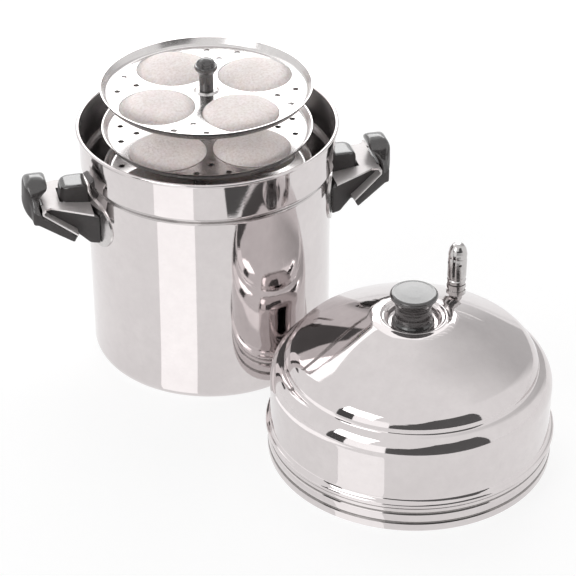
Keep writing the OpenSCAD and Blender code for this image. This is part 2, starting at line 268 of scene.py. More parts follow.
def build_crumb() -> NodeTree:
    """Makes the group for steamed batter: grains, pores and slow swells."""
    tree = new_group("crumb", {"Place": None, "Scale": 420.0}, ("Height", "Shade"))
    grain = tree.add("TexNoise", in_Detail=4.0, in_Roughness=0.65)
    pores = tree.add("TexVoronoi", in_Randomness=1.0)
    swell = tree.add("TexNoise", in_Detail=2.0)
    for texture, factor in ((grain, 1.0), (pores, 0.9), (swell, 0.16)):
        tree.join(tree.entry.outputs["Place"], texture.inputs["Vector"])
        scale = tree.math("MULTIPLY", tree.entry.outputs["Scale"], factor)
        tree.join(scale, texture.inputs["Scale"])
    hole = tree.stretch(pores.outputs["Distance"], (0.0, 0.55), (0.6, 0))
    shade = tree.math("ADD", hole, tree.stretch(grain.outputs["Fac"], (0.62, 0.36), (0, 0.75)))
    height = tree.math("MULTIPLY", grain.outputs["Fac"], 0.7)
    height = tree.math("ADD", height, tree.math("MULTIPLY", swell.outputs["Fac"], 0.9))
    height = tree.math("SUBTRACT", height, tree.math("MULTIPLY", hole, 0.35))
    tree.join(height, tree.leave.inputs["Height"])
    tree.join(tree.stretch(shade, (0, 1), (0, 1)), tree.leave.inputs["Shade"])
    return tree.tree


@dataclass(frozen=True)
class Finish:
    """A material: its colours, gloss and the pattern that breaks it up.

    Colour and roughness run from their first value to their second over wipe marks. The
    refractive index is bend. The density of the turned lines is lines, or 0 for none.
    """

    name: str
    slot: Slot
    low: Triple
    high: Triple
    roughness: Pair
    metallic: float = 0.0
    coat: float = 0.0
    coat_roughness: float = 0.04
    bend: float = 1.5
    marks_scale: float = 14.0
    lines: float = 0.0
    line_bump: float = 0.0

    def shader(self, centre: Pair = (0.0, 0.0)) -> Material:
        """Builds the material.

        Args:
            centre: X and Y, in metres, of the axis that the turned lines run round.

        Returns:
            The material.
        """
        material = bpy.data.materials.new(self.name)
        tree = cleared(material)
        out = tree.add("OutputMaterial")
        shader = tree.add(
            "BsdfPrincipled", in_Metallic=self.metallic, in_Coat_Weight=self.coat,
            in_Coat_Roughness=self.coat_roughness, in_IOR=self.bend, in_Coat_IOR=self.bend,
        )
        tree.join(shader.outputs[0], out.inputs["Surface"])
        place = tree.add("TexCoord")
        moved = tree.add("Mapping")
        moved.inputs["Location"].default_value = (-centre[0], -centre[1], 0)
        tree.join(place.outputs["Object"], moved.inputs["Vector"])
        self.dress(tree, shader, moved.outputs[0])
        return material

    def dress(self, tree: Tree, shader: Node, place: Socket) -> None:
        """Feeds colour, roughness and bump to the shader."""
        marks = tree.group("handled_marks", place, in_Scale=self.marks_scale)
        mask = marks.outputs["Mask"]
        tree.join(tree.blend_colour(mask, self.low, self.high), shader.inputs["Base Color"])
        tree.join(tree.stretch(mask, (0, 1), self.roughness), shader.inputs["Roughness"])
        if self.lines:
            rings = tree.group("turned_lines", place, in_Density=self.lines)
            self.bump(tree, shader, rings.outputs["Height"], self.line_bump)

    @staticmethod
    def bump(tree: Tree, shader: Node, height: Socket, strength: float) -> None:
        """Turns a height into the shader's normal."""
        node = tree.add("Bump", in_Strength=strength, in_Distance=MM)
        tree.join(height, node.inputs["Height"])
        tree.join(node.outputs["Normal"], shader.inputs["Normal"])


@dataclass(frozen=True)
class RiceFinish(Finish):
    """Steamed batter: matt, slightly see-through and grainy."""

    crumb_scale: float = 420.0
    crumb_bump: float = 0.85
    milky: float = 0.12
    milky_reach: float = 0.004

    def dress(self, tree: Tree, shader: Node, place: Socket) -> None:
        """Feeds the crumb's colour, roughness and bump to the shader."""
        crumb = tree.group("crumb", place, in_Scale=self.crumb_scale)
        mask = crumb.outputs["Shade"]
        tree.join(tree.blend_colour(mask, self.high, self.low), shader.inputs["Base Color"])
        tree.join(tree.stretch(mask, (0, 1), self.roughness), shader.inputs["Roughness"])
        shader.inputs["Subsurface Weight"].default_value = self.milky
        shader.inputs["Subsurface Scale"].default_value = self.milky_reach
        self.bump(tree, shader, crumb.outputs["Height"], self.crumb_bump)


MIRROR_STEEL = Finish(
    "mirror_steel", Slot.STEEL, (0.645, 0.605, 0.605), (0.7, 0.66, 0.658), (0.03, 0.07),
    metallic=1.0, lines=1500.0, line_bump=0.01,
)
INNER_STEEL = Finish(
    "inner_steel", Slot.STEEL, (0.56, 0.53, 0.525), (0.66, 0.63, 0.625), (0.14, 0.26),
    metallic=0.8, marks_scale=26.0, lines=1200.0, line_bump=0.03,
)
# Painted shade: a dark copy of the steel, laid on the pot's step, the lid's grooves and the plates'
# holes and rim edge.
PAINTED_SHADE_STEEL = Finish(
    "painted_shade_steel", Slot.STEEL, (0.22, 0.205, 0.2), (0.34, 0.32, 0.315), (0.12, 0.25),
    metallic=1.0, marks_scale=60.0,
)
SHADED_STEEL = Finish(
    "shaded_steel", Slot.STEEL, (0.47, 0.44, 0.44), (0.54, 0.51, 0.505), (0.08, 0.16),
    metallic=1.0, marks_scale=60.0,
)
PRESSED_STEEL = Finish(
    "pressed_steel", Slot.STEEL, (0.63, 0.605, 0.6), (0.69, 0.668, 0.662), (0.15, 0.25),
    metallic=1.0, marks_scale=26.0, lines=1200.0, line_bump=0.02,
)
BRUSHED_STEEL = Finish(
    "brushed_steel", Slot.SATIN, (0.52, 0.495, 0.49), (0.62, 0.595, 0.59), (0.14, 0.26),
    metallic=1.0, marks_scale=40.0, lines=2600.0, line_bump=0.05,
)
# Painted light: a paler, less metallic copy of the brushed steel, laid on the bracket arms' upward
# faces so that their tops look lit.
PAINTED_LIGHT_STEEL = Finish(
    "painted_light_steel", Slot.SATIN, (0.56, 0.53, 0.525), (0.64, 0.61, 0.605), (0.3, 0.42),
    metallic=0.35, marks_scale=40.0,
)
TURNED_STEEL = Finish(
    "turned_steel", Slot.WEIGHT, (0.5, 0.48, 0.475), (0.62, 0.6, 0.595), (0.04, 0.1),
    metallic=1.0, marks_scale=60.0, lines=3200.0, line_bump=0.06,
)
BAKELITE = Finish(
    "black_bakelite", Slot.BAKELITE, (0.022, 0.0195, 0.019), (0.036, 0.032, 0.032), (0.16, 0.3),
    coat=1.0, marks_scale=60.0, bend=1.52,
)
# Painted shade: the same black with less gloss and no coat, laid on grip faces that look outward or
# down so that they show no highlight and stay dark.
DULL_SHADE_BAKELITE = Finish(
    "dull_shade_bakelite", Slot.BAKELITE, (0.022, 0.0195, 0.019), (0.036, 0.032, 0.032), (0.4, 0.5),
    marks_scale=60.0, bend=1.4,
)
BRASS = Finish(
    "turned_brass", Slot.BRASS, (0.55, 0.41, 0.19), (0.68, 0.53, 0.28), (0.16, 0.3),
    metallic=1.0, marks_scale=80.0,
)
RICE = RiceFinish(
    "steamed_rice", Slot.RICE, (0.78, 0.69, 0.66), (0.92, 0.85, 0.835), (0.55, 0.8)
)


# Mesh building blocks


def arc(centre: Pair, radius: float, start: float, stop: float, count: int = 12) -> Array:
    """Points of an arc: centre + radius * (cos a, sin a), with a in degrees."""
    a = np.radians(np.linspace(start, stop, count))
    return np.asarray(centre) + radius * np.column_stack([np.cos(a), np.sin(a)])


def eased(line: Array, reach: float, steps: int = 5) -> Array:
    """Rounds each inner corner of a line.

    Formula: the corner p gives way to the parabola (1-s)^2 a + 2s(1-s) p + s^2 b, where
    a and b lie on the two legs, reach away from p or just under half a leg.

    Args:
        line: Points, one row each.
        reach: How far from the corner the rounding starts.
        steps: Points on each parabola.

    Returns:
        The points of the rounded line.
    """
    legs = np.diff(line, axis=0)
    length = np.linalg.norm(legs, axis=1)
    unit = legs / length[:, None]
    cut = np.minimum(reach, 0.49 * np.minimum(length[:-1], length[1:]))[:, None]
    corner = line[1:-1, None]
    a = (line[1:-1] - cut * unit[:-1])[:, None]
    b = (line[1:-1] + cut * unit[1:])[:, None]
    s = np.linspace(0, 1, steps)[None, :, None]
    curve = (1 - s) ** 2 * a + 2 * s * (1 - s) * corner + s**2 * b
    return np.vstack([line[:1], curve.reshape(-1, line.shape[1]), line[-1:]])


def moved_in(line: Array, depth: float) -> Array:
    """Moves a line to its left by depth, along the mean normal of the legs at each point."""
    step = np.gradient(line, axis=0)
    step /= np.linalg.norm(step, axis=1)[:, None]
    return line + depth * np.column_stack([-step[:, 1], step[:, 0]])


def full_turn(count: int) -> Array:
    """Returns a row of even angles round a circle, in radians."""
    return np.linspace(0, 2 * math.pi, count, endpoint=False)[None, :]


def spun(line: Array, centre: Pair, turns: int = 160) -> Array:
    """Turns an (r, z) line round an axis: (cx + r cos a, cy + r sin a, z) on a grid."""
    a = full_turn(turns)
    r, z = line[:, :1], line[:, 1:]
    x = centre[0] + r * np.cos(a)
    y = centre[1] + r * np.sin(a)
    return np.stack([x, y, np.broadcast_to(z, x.shape)], axis=-1)


def grid_faces(rows: int, columns: int, round_rows: bool, round_columns: bool = True) -> Array:
    """Corner numbers of a grid's quads. Rows and columns may each close to a ring."""
    i = np.arange(rows if round_rows else rows - 1)[:, None]
    j = np.arange(columns if round_columns else columns - 1)[None, :]
    below = ((i + 1) % rows) * columns
    right = (j + 1) % columns
    quads = [i * columns + j, i * columns + right, below + right, below + j]
    return np.stack(quads, axis=-1).reshape(-1, 4)


@dataclass
class Builder:
    """Puts finished meshes into the frame and keeps count of them."""

    nodes: dict[str, Piece]
    materials: dict[str, Material] = field(default_factory=dict)
    made: list[str] = field(default_factory=list)

    def material(self, finish: Finish, centre: Pair = (0, 0)) -> Material:
        """Returns the finish as a material whose lines run round the given axis, in mm."""
        key = f"{finish.name}_{round(centre[0])}_{round(centre[1])}"
        if key not in self.materials:
            self.materials[key] = finish.shader((centre[0] * MM, centre[1] * MM))
        return self.materials[key]

    def surface(self, name: str, grids: list[Array], closed: bool = False) -> Piece:
        """Makes one object out of point grids, with its doubles merged and faces outward.

        Args:
            name: The piece's name.
            grids: Arrays of rows by columns by 3, in mm, each closed along its columns.
            closed: True where the last row meets the first.

        Returns:
            The new object.
        """
        points, faces, base = [], [], 0
        for grid in grids:
            rows, columns = grid.shape[:2]
            points.append(grid.reshape(-1, 3) * MM)
            faces.append(grid_faces(rows, columns, closed) + base)
            base += rows * columns
        mesh = bpy.data.meshes.new(name)
        mesh.from_pydata(np.vstack(points), [], np.vstack(faces).tolist())
        self.clean(mesh, 1e-7)
        return self.place(name, mesh)

    def copy(self, name: str, node: str) -> Piece:
        """Copies a node's mesh and merges its loose triangles."""
        mesh = self.nodes[node].data.copy()
        if "custom_normal" in mesh.attributes:
            mesh.attributes.remove(mesh.attributes["custom_normal"])
        self.clean(mesh, 1e-6)
        return self.place(name, mesh)

    @staticmethod
    def clean(mesh: Mesh, distance: float) -> None:
        """Merges doubles and turns the faces outward."""
        work = bmesh.new()
        work.from_mesh(mesh)
        bmesh.ops.remove_doubles(work, verts=work.verts, dist=distance)
        bmesh.ops.recalc_face_normals(work, faces=work.faces)
        work.to_mesh(mesh)
        work.free()

    @staticmethod
    def place(name: str, mesh: Mesh) -> Piece:
        """Adds a smooth-shaded mesh to the scene as an object at the origin."""
        mesh.shade_smooth()
        return linked(name, mesh)

    def settle(
        self, piece: Piece, body: str, finish: Finish, stands_for: str,
        centre: Pair = (0, 0), sharp: float = 35.0,
    ) -> Piece:
        """Gives a piece its finish and its body, and hides the node that it stands for.

        Args:
            piece: The finished object.
            body: Body that it rides on.
            finish: Its finish.
            stands_for: Node that it replaces.
            centre: Axis of its turned lines, in mm.
            sharp: Angle, in degrees, past which an edge stays sharp.

        Returns:
            The piece.
        """
        piece.data.set_sharp_from_angle(angle=math.radians(sharp))
        piece.data.materials.clear()
        piece.data.materials.append(self.material(finish, centre))
        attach(piece, body)
        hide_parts(stands_for)
        self.made.append(piece.name)
        LOG.info("%s rides on %s, %d faces", piece.name, body, len(piece.data.polygons))
        return piece

    def paint(self, piece: Piece, chosen: Array, finish: Finish, centre: Pair = (0, 0)) -> None:
        """Gives some faces of a settled piece another finish.

        Args:
            piece: The piece.
            chosen: True for each face that changes.
            finish: The finish of those faces.
            centre: Axis of its turned lines, in mm.
        """
        mesh = piece.data
        index = np.zeros(len(mesh.polygons), dtype=np.int32)
        mesh.polygons.foreach_get("material_index", index)
        index[chosen] = len(mesh.materials)
        mesh.materials.append(self.material(finish, centre))
        mesh.polygons.foreach_set("material_index", index)

    @staticmethod
    def faces(piece: Piece) -> tuple[Array, Array]:
        """Returns the middles, in mm, and the normals of a piece's faces."""
        count = len(piece.data.polygons)
        middles, normals = np.zeros(count * 3), np.zeros(count * 3)
        piece.data.polygons.foreach_get("center", middles)
        piece.data.polygons.foreach_get("normal", normals)
        return middles.reshape(-1, 3) / MM, normals.reshape(-1, 3)

    @staticmethod
    def points(mesh: Mesh) -> Array:
        """Returns a mesh's points in mm, one row each."""
        flat = np.zeros(len(mesh.vertices) * 3)
        mesh.vertices.foreach_get("co", flat)
        return flat.reshape(-1, 3) / MM

    def keep(self, node: str, finish: Finish, centre: Pair = (0, 0)) -> None:
        """Leaves a node as it is and gives it its finish."""
        mesh = self.nodes[node].data
        mesh.materials.clear()
        mesh.materials.append(self.material(finish, centre))
        LOG.info("%s kept from the frame", node)

    def edged(
        self, node: str, body: str, finish: Finish, width: float = 0.3, centre: Pair = (0, 0)
    ) -> Piece:
        """Stands in for a node with a copy whose sharp edges are broken by a bevel."""
        piece = self.copy(node + "_edged", node)
        bevel = piece.modifiers.new("broken_edges", "BEVEL")
        bevel.width = width * MM
        bevel.segments = 2
        bevel.limit_method = "ANGLE"
        bevel.angle_limit = math.radians(40)
        bevel.harden_normals = True
        return self.settle(piece, body, finish, node, centre)


@dataclass
class Pot:
    """The pot: drawn body, wider band under a rolled rim, brackets and grips.

    The step carries painted shade under the band: it is painted dark within painted_shade_share
    of step_reach and painted half dark within shaded_share.
    """

    height: float
    rim_r: float
    band_r: float = 119.5
    body_r: float = 115.0
    band_h: float = 41.0
    corner_r: float = 14.0
    wall: float = 1.0
    roll_r: float = 1.8
    step_reach: float = 4.8
    painted_shade_share: float = 0.45
    shaded_share: float = 0.9

    def outer_line(self) -> Array:
        """Line of the outer face from the middle of the bottom to just under the rim.

        It is a flat bottom, a quarter circle, a straight wall, an S-shaped step and the
        straight band.
        """
        step = self.height - self.band_h
        t = np.linspace(-1, 1, 25)
        swing = (self.band_r - self.body_r) / 2
        s_curve = np.column_stack(
            [self.body_r + swing * (1 + np.sin(t * math.pi / 2)), step + self.step_reach * t]
        )
        corner = arc((self.body_r - self.corner_r, self.corner_r), self.corner_r, -90, 0, 20)
        bottom = np.column_stack([np.linspace(0, self.body_r - self.corner_r - 4, 8), np.zeros(8)])
        wall = np.column_stack(
            [np.full(6, self.body_r), np.linspace(self.corner_r + 1, step - self.step_reach - 1, 6)]
        )
        rim_end = self.height - self.roll_r
        foot = step + self.step_reach + 0.6
        heights = np.append(np.linspace(foot, rim_end - 0.4, 7), rim_end)
        band = np.column_stack([np.full(8, self.band_r), heights])
        return np.vstack([bottom, corner, wall, s_curve, band])

    def shell(self) -> Array:
        """Whole section: outer line up, round the rolled rim, and the inner line back."""
        outer = self.outer_line()
        inner = moved_in(outer, self.wall)
        inner[:, 0] = np.maximum(inner[:, 0], 0)
        centre = (self.rim_r - self.roll_r, self.height - self.roll_r)
        roll = arc(centre, self.roll_r, -150, 180, 28)
        return np.vstack([outer[:-1], roll, inner[::-1]])

    def build(self, maker: Builder) -> None:
        """Makes the pot's pieces."""
        body = maker.surface("pot_shell", [spun(self.shell(), (0, 0), 220)])
        maker.settle(body, "pot", MIRROR_STEEL, "pot_body", sharp=50)
        middles, normals = maker.faces(body)
        outward = (middles[:, :2] * normals[:, :2]).sum(axis=1)
        r, z = np.hypot(middles[:, 0], middles[:, 1]), middles[:, 2]
        rim_foot = self.height - 2 * self.roll_r
        inside = (z < rim_foot) & ((outward < 0) | ((normals[:, 2] > 0.5) & (r < self.body_r)))
        maker.paint(body, inside, INNER_STEEL)
        # Painted shade under the band's overhang: the step is painted dark at its core and half
        # dark round it.
        step = self.height - self.band_h
        off = np.abs(z - step) / self.step_reach
        maker.paint(body, (outward > 0) & (off < self.shaded_share), SHADED_STEEL)
        maker.paint(body, (outward > 0) & (off < self.painted_shade_share), PAINTED_SHADE_STEEL)
        for side in ("left", "right"):
            bracket = maker.edged(f"bracket_{side}", "pot", BRUSHED_STEEL, 0.4)
            middles, normals = maker.faces(bracket)
            # Painted light: the arms' upward faces get the paler steel, so that their tops look
            # lit.
            lit_arm_tops = (np.hypot(middles[:, 0], middles[:, 1]) > self.body_r + 3) & (normals[:, 2] > 0.4)
            maker.paint(bracket, lit_arm_tops, PAINTED_LIGHT_STEEL)
            Grip(side).build(maker)
        maker.edged("handle_screws", "pot", BRUSHED_STEEL, 0.25)


@dataclass
class Grip:
    """A moulded grip: the node's form with worn edges and, in its upper part, rounder ones.

    Faces that look outward or down have the duller finish, painted shade that keeps them dark
    without a highlight, within the limits shade_outward and shade_up of their normals.
    """

    side: str
    cell: float = 1.0
    worn_steps: int = 18
    upper_reach: float = 22.0
    upper_steps: int = 45
    shade_outward: float = -0.05
    shade_up: float = 0.35

    def build(self, maker: Builder) -> None:
        """Makes the grip."""
        node = f"handle_{self.side}"
        piece = maker.copy(f"grip_{self.side}", node)
        cells = piece.modifiers.new("even_cells", "REMESH")
        cells.mode = "VOXEL"
        cells.voxel_size = self.cell * MM
        cells.use_smooth_shade = True
        self.ease(piece, "worn_edges", self.worn_steps)
        seen = piece.evaluated_get(bpy.context.evaluated_depsgraph_get())
        piece.data = bpy.data.meshes.new_from_object(seen)
        piece.modifiers.clear()
        maker.settle(piece, "pot", BAKELITE, node, sharp=180)
        middles, normals = maker.faces(piece)
        outward = normals[:, 0] * np.sign(middles[:, 0])
        # Painted shade: faces that look outward or down get the duller copy, so that they stay
        # dark.
        shaded_faces = (outward > self.shade_outward) & (normals[:, 2] < self.shade_up)
        maker.paint(piece, shaded_faces, DULL_SHADE_BAKELITE)
        up = maker.points(piece.data)[:, 2]
        upper = piece.vertex_groups.new(name="upper")
        upper.add(np.flatnonzero(up > up.max() - self.upper_reach).tolist(), 1.0, "REPLACE")
        self.ease(piece, "rounder_top", self.upper_steps).vertex_group = upper.name

    @staticmethod
    def ease(piece: Piece, name: str, steps: int) -> bpy.types.Modifier:
        """Adds a modifier that moves each point half way to its neighbours, steps times."""
        modifier = piece.modifiers.new(name, "SMOOTH")
        modifier.factor = 0.5
        modifier.iterations = steps
        return modifier


@dataclass
class Rack:
    """The rack: legs, rod, spacers, plates, cakes and the lifting knob.

    A plate's holes and edge carry painted shade: the steep faces in its hole_zone, and the faces
    less than edge_width from its rim, are painted dark. A cake lies gap over its mould and ends
    lip inside the mould's rim and lip over the plate. The cake_widths scale the cakes of some
    plates.
    """

    plate_count: int = 6
    plate_r: float = 98.0
    hole_zone: Pair = (14.0, 90.0)
    edge_width: float = 0.7
    mould_r: float = 35.0
    mould_depth: float = 14.0
    ring_r: float = 54.6
    gap: float = 0.15
    lip: float = 0.9
    swells: Pair = (-0.32, 0.3)
    cake_steps: tuple[int, int] = (34, 84)
    knob_steps: int = 144
    crown_r: float = 10.8
    collar_z: float = 24.5
    notch: float = 0.18
    cake_widths: dict[int, tuple[float, ...]] = field(
        default_factory=lambda: {6: (0.94, 0.94, 0.91, 1.0), 5: (1, 1, 1.04, 1.05)}
    )

    def build(self, maker: Builder) -> None:
        """Makes the rack's pieces."""
        maker.edged("rack_legs", "rack", PRESSED_STEEL)
        maker.edged("rack_rod", "rack", PRESSED_STEEL)
        maker.edged("rod_nut", "rack", BRUSHED_STEEL)
        for n in range(1, self.plate_count):
            maker.edged(f"spacer_{n}", "rack", PRESSED_STEEL, 0.25)
        for n in range(1, self.plate_count + 1):
            node = f"plate_{n}"
            plate = maker.copy(f"mould_{node}", node)
            maker.settle(plate, node, PRESSED_STEEL, node, sharp=25)
            middles, normals = maker.faces(plate)
            r = np.hypot(middles[:, 0], middles[:, 1])
            level = np.abs(normals[:, 2])
            # Painted shade: the hole walls and the rim's edge faces are painted dark, so that the
            # holes and the edge look shaded.
            holes = (level < 0.3) & (r > self.hole_zone[0]) & (r < self.hole_zone[1])
            edge = (level < 0.7) & (r > self.plate_r - self.edge_width)
            maker.paint(plate, holes | edge, PAINTED_SHADE_STEEL)
            self.cakes(maker, n)
        self.knob(maker)
        maker.keep("rack_knob_bush", BRASS)

    def cakes(self, maker: Builder, n: int) -> None:
        """Makes the four cakes of a plate.

        Below, a cake is the mould's own sphere. Above, it is a low dome whose height is
        dome * (1 - q^2.6)^0.8 for q from 0 in the middle to 1 at the edge, with slow
        swells that a sum of cosines gives.
        """
        low, high = (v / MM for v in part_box(f"idlis_{n}"))
        points = maker.points(maker.nodes[f"idlis_{n}"].data)
        top = points[points[:, 2] > high.z - 0.05]
        turn = math.degrees(math.atan2(top[0, 1], top[0, 0])) % 90
        floor = low.z + self.mould_depth - self.gap
        ball = (self.mould_r**2 + self.mould_depth**2) / 2 / self.mould_depth
        reach = math.degrees(math.asin(self.mould_r / ball)) - 1
        under = arc((0, ball - self.mould_depth), ball - self.gap, -90, -90 + reach, 16)
        rows, turns = self.cake_steps
        q = np.sqrt(np.linspace(1, 0, rows))
        dome = high.z - floor - 0.4
        upper = self.lip + (dome - self.lip) * (1 - q**2.6) ** 0.8
        angle = full_turn(turns)
        middle = np.sin(math.pi * np.linspace(0, 1, rows))[:, None]
        cakes = []
        for k in range(4):
            rng = np.random.default_rng(100 * n + k)
            a = math.radians(turn + 90 * k)
            centre = (self.ring_r * math.cos(a), self.ring_r * math.sin(a))
            rim = (self.mould_r - self.lip) * self.cake_widths.get(n, (1,) * 4)[k]
            line = np.vstack([under, np.column_stack([rim * q, upper])])
            grid = spun(line + [0, floor], centre, turns)
            swell = sum(
                rng.uniform(*self.swells) * np.cos(m * angle + rng.uniform(0, 6)) for m in (2, 3, 5)
            )
            grid[len(under):, :, 2] += swell * middle - 0.25
            cakes.append(grid)
        piece = maker.surface(f"cakes_{n}", cakes)
        maker.settle(piece, f"plate_{n}", RICE, f"idlis_{n}", sharp=70)

    def knob(self, maker: Builder) -> None:
        """Makes the lifting knob: a turned line with six finger notches in its crown.

        Above the collar, the radius at the angle a is scaled by 1 - notch max(0, cos 6a)^3.
        """
        low, high = (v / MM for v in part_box("rack_knob"))
        tall = high.z - low.z
        line = np.vstack([
            [[5.6, 0], [6.8, 0], [6.8, 14.5], [7.8, 17.5], [10.4, 21], [10.8, 22],
             [10.6, 24.4], [8.6, 24.6], [8.4, 27]],
            arc((0, tall - self.crown_r), self.crown_r, 40, 90, 14),
        ])
        line = eased(line, 0.8)
        grid = spun(line + [0, low.z], (0, 0), self.knob_steps)
        a = full_turn(self.knob_steps)
        over = (line[:, 1:] > self.collar_z) & (line[:, :1] > 6)
        scallop = 1 - over * self.notch * np.maximum(0, np.cos(6 * a)) ** 3
        grid[:, :, :2] *= scallop[:, :, None]
        piece = maker.surface("lifting_knob", [grid])
        maker.settle(piece, "rack_knob", BAKELITE, "rack_knob", sharp=50)


@dataclass
class Lid:
    """The lid: beaded skirt, shoulder, ledge, cone, knob in its well, and steam vent.

    The grooves are the heights between which the skirt is painted dark, as painted shade in the
    grooves.
    The vent weight's radii are scaled by weight_factors at weight_heights over its foot.
    """

    centre: Pair
    skirt_r: float = 126.8
    crown_z: float = 140.0
    wall: float = 0.9
    crest_r: float = 31.0
    cone_r: float = 104.0
    cone_z: float = 107.6
    cone_slope: float = 0.462
    cone_swell: float = 2.4
    brim_r: float = 41.0
    brim_slopes: Pair = (0.365, 0.17)
    well_r: float = 24.0
    vent_r: float = 63.0
    vent_turn: float = 35.3
    grooves: tuple[Pair, ...] = ((7.9, 10.1), (18, 20.2), (23.3, 25.6))
    weight_heights: tuple[float, ...] = (0, 25, 27.2, 27.6, 41)
    weight_factors: tuple[float, ...] = (1.13, 1.14, 1.18, 1.36, 1.45)

    @property
    def well_z(self) -> float:
        """Height of the well's floor."""
        return self.crown_z - 8

    def cone(self) -> Array:
        """Line of the cone, from its foot to the crest.

        It rises evenly and swells by cone_swell sin(pi t), with t from 0 at the foot to 1
        at the crest. From the radius brim_r inward its slope falls evenly, so that it is
        almost level at the crest: d mm inward it has risen d (a - b s), where s is the share
        of the way and a and b are brim_slopes.
        """
        r = np.linspace(self.cone_r, self.brim_r, 22)
        t = (self.cone_r - r) / (self.cone_r - self.crest_r)
        z = self.cone_z + self.cone_slope * (self.cone_r - r)
        z += self.cone_swell * np.sin(math.pi * t)
        inward = np.linspace(0.8, self.brim_r - self.crest_r - 1, 9)
        share = inward / (self.brim_r - self.crest_r)
        brim_z = z[-1] + inward * (self.brim_slopes[0] - self.brim_slopes[1] * share)
        return np.vstack([
            np.column_stack([r, z]), np.column_stack([self.brim_r - inward, brim_z]),
        ])

    def outer_line(self) -> Array:
        """Line of the outer face, from the hem up to the middle of the well."""
        hem = np.array([
            [128.2, 0], [129.2, 1.2], [129.4, 4], [129.2, 7.6], [128, 9], [128.9, 10.4],
            [129.2, 14], [128.8, 17.6], [127.7, 19], [128.5, 20.4], [128.4, 23.4], [127.8, 24.6],
        ])
        bead = arc((128, 27.8), 3, -70, 70, 14)
        skirt = np.column_stack([np.full(6, self.skirt_r), np.linspace(32.6, 72, 6)])
        well = np.array([
            [self.well_r + 4, self.crown_z - 1.6], [self.well_r + 0.8, self.crown_z - 2.2],
            [self.well_r - 1, self.well_z + 1], [self.well_r - 2.4, self.well_z],
            [12, self.well_z], [0, self.well_z],
        ])
        shoulder = arc((self.skirt_r - 20, 74), 20, 3, 52, 18)
        ledge = np.array([
            [116.6, 91.2], [114.6, 91.7], [113.5, 92.6], [113, 94.2], [112.82, 97],
            [112.8, 97.2], [112.7, 97.38], [111.1, 100.2], [109.2, 103], [107, 105.2],
        ])
        crest = arc((self.crest_r - 1, self.crown_z - 1.6), 1.6, 62, 120, 7)
        parts = (hem, bead, skirt, shoulder, ledge, self.cone(), crest, well)
        return eased(np.vstack(parts), 1.4, 3)

    def shell(self) -> Array:
        """Whole section of the sheet: the outer line and back along the inner one."""
        outer = self.outer_line()
        inner = moved_in(outer, self.wall)
        inner[:, 0] = np.maximum(inner[:, 0], 0)
        inner[0, 1] = 0
        return np.vstack([outer, inner[::-1], outer[:1]])

    def build(self, maker: Builder) -> None:
        """Makes the lid's pieces."""
        shell = maker.surface("lid_sheet", [spun(self.shell(), self.centre, 156)])
        maker.settle(shell, "lid", MIRROR_STEEL, "lid_shell", self.centre, sharp=55)
        middles, normals = maker.faces(shell)
        outward = ((middles[:, :2] - self.centre) * normals[:, :2]).sum(axis=1) > 0
        z = middles[:, 2]
        # Painted shade: the skirt is painted dark in its grooves, all the way round.
        grooves = [(z > low) & (z < high) for low, high in self.grooves]
        maker.paint(shell, outward & np.any(grooves, axis=0), PAINTED_SHADE_STEEL, self.centre)
        maker.edged("lid_seat_ring", "lid", BRUSHED_STEEL, 0.2, self.centre)
        self.knob(maker)
        maker.keep("lid_knob_screw", BRUSHED_STEEL, self.centre)
        maker.keep("lid_knob_washer", BRUSHED_STEEL, self.centre)
        self.vent(maker)

    def knob(self, maker: Builder) -> None:
        """Makes the knob: a flared foot, a waist, a rounded head and a dished top."""
        low, high = (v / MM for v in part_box("lid_knob"))
        tall = high.z - low.z
        line = np.vstack([
            [[2.6, 0.05], [19.2, 0], [19.4, 2.4], [17.4, 5], [16.3, 9], [16.2, 17], [17.2, 22],
             [19.6, 26]],
            arc((18.8, 29), 2.6, -50, 80, 12),
            [[18.2, tall - 0.9], [17.6, tall - 1.0], [9, tall - 0.7], [0, tall - 0.6]],
        ])
        grid = spun(eased(line, 1.2, 6) + [0, low.z], self.centre, 128)
        piece = maker.surface("lid_handle", [grid])
        maker.settle(piece, "lid", BAKELITE, "lid_knob", self.centre, sharp=50)

    def vent(self, maker: Builder) -> None:
        """Makes the vent: tube, knurled nut and the weight that rests on it.

        The weight is the node's form, with each radius scaled by a factor that grows with
        the height, so that its top is fuller.
        """
        angle = math.radians(self.vent_turn)
        x = self.centre[0] + self.vent_r * math.cos(angle)
        y = self.centre[1] + self.vent_r * math.sin(angle)
        maker.edged("vent_tube", "lid", BRUSHED_STEEL, 0.2, (x, y))
        nut = maker.copy("vent_nut_knurled", "vent_nut")
        maker.settle(nut, "lid", TURNED_STEEL, "vent_nut", (x, y), sharp=25)
        weight = maker.edged("vent_weight", "vent_weight", TURNED_STEEL, 0.25, (x, y))
        points = maker.points(weight.data)
        up = points[:, 2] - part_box("vent_weight")[0].z / MM
        wider = np.interp(up, self.weight_heights, self.weight_factors)
        points[:, :2] = [x, y] + (points[:, :2] - [x, y]) * wider[:, None]
        weight.data.vertices.foreach_set("co", (points * MM).ravel())


# Studio


def seen_from(azimuth: float, elevation: float, distance: float) -> Vector:
    """Returns a place round the object's middle.

    Args:
        azimuth: Degrees from the line to the camera, towards the picture's right.
        elevation: Degrees above the floor.
        distance: Metres from the middle of the object.

    Returns:
        The place in the frame.
    """
    a = math.radians(azimuth - HEADING)
    e = math.radians(elevation)
    flat = Vector((math.sin(a) * math.cos(e), -math.cos(a) * math.cos(e), math.sin(e)))
    return MIDDLE + flat * distance


